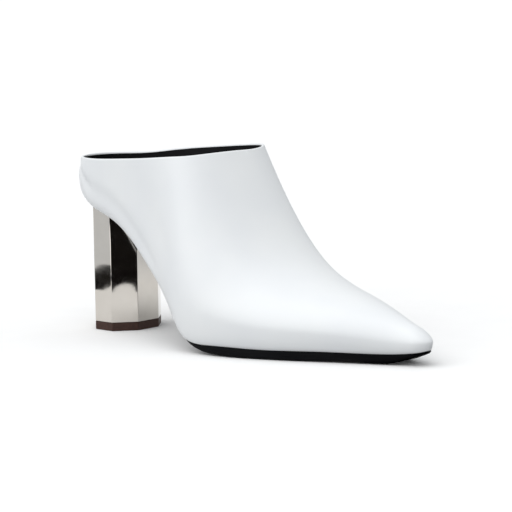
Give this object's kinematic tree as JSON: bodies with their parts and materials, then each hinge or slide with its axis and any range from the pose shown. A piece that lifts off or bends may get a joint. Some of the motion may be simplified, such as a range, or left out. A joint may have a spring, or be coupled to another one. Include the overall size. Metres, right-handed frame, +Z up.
{
  "type": "pointed toe mule",
  "caption": "Pointed toe mule with a closed low back, smooth white upper, thin black sole and a tall faceted mirror block heel.",
  "frame": {"origin": "middle of the heel's bottom face, on the floor", "axes": "+X to the toe, +Y to the medial side, +Z up"},
  "size_m": [0.2513, 0.0884, 0.1074],
  "materials": {
    "white_leather": "smooth semi-gloss, black lining inside",
    "black_sock": "smooth satin",
    "black_sole": "edge painted, satin",
    "mirror_heel": "mirror plated",
    "brown_top_piece": "satin"
  },
  "bodies": {
    "root": {"upper": "white_leather", "insole": "black_sock", "outsole": "black_sole", "heel": "mirror_heel", "top_piece": "brown_top_piece"}
  },
  "joints": []
}
